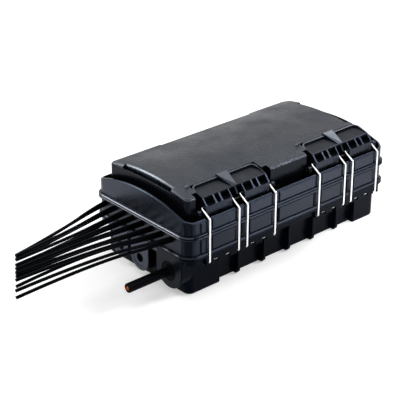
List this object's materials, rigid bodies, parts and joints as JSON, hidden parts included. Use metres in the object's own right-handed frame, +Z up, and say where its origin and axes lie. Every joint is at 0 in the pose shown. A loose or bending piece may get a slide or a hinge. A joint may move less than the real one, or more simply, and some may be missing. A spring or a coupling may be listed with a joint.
{
  "type": "fibre distribution box",
  "caption": "Black fibre distribution box: ribbed tub with cable ports, middle frame with drop cables, hinged crowned cover, over-centre levers with wire bails.",
  "frame": {"origin": "on the underside of the tub, midway between the two latches", "axes": "+X along the box away from the cable end, -Y is the latch side, +Z up"},
  "size_m": [0.5945, 0.2075, 0.1432],
  "materials": {
    "housing_black": "black moulded plastic, satin with fine texture",
    "lever_black": "black moulded plastic",
    "bright_wire": "bright drawn stainless wire",
    "dark_pin": "blackened steel pin",
    "steel_pin": "stainless pin",
    "seal_rubber": "black rubber",
    "cable_jacket": "black polyethylene jacket",
    "core_orange": "orange core at the cut end",
    "tray_grey": "grey moulded plastic",
    "tray_clear": "clear lid"
  },
  "bodies": {
    "housing": {"tub": "housing_black", "middle_frame": "housing_black", "hinge_pin_left": "steel_pin", "hinge_pin_right": "steel_pin", "tub_gasket": "seal_rubber", "cover_gasket": "seal_rubber", "feeder_gland": "seal_rubber", "port_plug_middle": "seal_rubber", "port_plug_rear": "seal_rubber", "drop_seal": "seal_rubber", "feeder_cable": "cable_jacket", "drop_cable_01": "cable_jacket", "drop_cable_02": "cable_jacket", "drop_cable_03": "cable_jacket", "drop_cable_04": "cable_jacket", "drop_cable_05": "cable_jacket", "drop_cable_06": "cable_jacket", "drop_cable_07": "cable_jacket", "drop_cable_08": "cable_jacket", "drop_cable_09": "cable_jacket", "drop_cable_10": "cable_jacket", "drop_cable_11": "cable_jacket", "drop_cable_12": "cable_jacket", "drop_cable_13": "cable_jacket", "drop_cable_14": "cable_jacket", "drop_cable_15": "cable_jacket", "drop_cable_16": "cable_jacket", "feeder_core": "core_orange", "tray_carrier": "tray_grey", "splice_tray_1": "tray_grey", "splice_tray_2": "tray_grey", "splice_tray_3": "tray_grey", "splice_tray_4": "tray_grey", "tray_lid": "tray_clear"},
    "cover": {"cover": "housing_black", "lever_pin_left": "dark_pin", "lever_pin_right": "dark_pin"},
    "lever_left": {"latch_lever_left": "lever_black"},
    "lever_right": {"latch_lever_right": "lever_black"},
    "bail_1": {"wire_bail_1": "bright_wire"},
    "bail_2": {"wire_bail_2": "bright_wire"},
    "bail_3": {"wire_bail_3": "bright_wire"},
    "bail_4": {"wire_bail_4": "bright_wire"}
  },
  "joints": [
    {"name": "cover_hinge", "type": "hinge", "parent": "housing", "child": "cover", "pos_m": [0, 0.104, 0.0875], "axis": [-1, 0, 0], "range_deg": [0, 100]},
    {"name": "lever_left_turn", "type": "hinge", "parent": "cover", "child": "lever_left", "pos_m": [-0.1, -0.0825, 0.1135], "axis": [1, 0, 0], "range_deg": [0, 88]},
    {"name": "bail_1_swing", "type": "hinge", "parent": "lever_left", "child": "bail_1", "pos_m": [-0.1, -0.0812, 0.1183], "axis": [1, 0, 0], "range_deg": [-84, 0]},
    {"name": "bail_2_swing", "type": "hinge", "parent": "lever_left", "child": "bail_2", "pos_m": [-0.1, -0.0812, 0.1183], "axis": [1, 0, 0], "range_deg": [-84, 0]},
    {"name": "lever_right_turn", "type": "hinge", "parent": "cover", "child": "lever_right", "pos_m": [0.1, -0.0825, 0.1135], "axis": [1, 0, 0], "range_deg": [0, 88]},
    {"name": "bail_3_swing", "type": "hinge", "parent": "lever_right", "child": "bail_3", "pos_m": [0.1, -0.0812, 0.1183], "axis": [1, 0, 0], "range_deg": [-84, 0]},
    {"name": "bail_4_swing", "type": "hinge", "parent": "lever_right", "child": "bail_4", "pos_m": [0.1, -0.0812, 0.1183], "axis": [1, 0, 0], "range_deg": [-84, 0]}
  ],
  "couplings": [
    {"joint": "bail_1_swing", "follows": "lever_left_turn", "ratio": -0.945},
    {"joint": "bail_2_swing", "follows": "lever_left_turn", "ratio": -0.945},
    {"joint": "bail_3_swing", "follows": "lever_right_turn", "ratio": -0.945},
    {"joint": "bail_4_swing", "follows": "lever_right_turn", "ratio": -0.945}
  ]
}
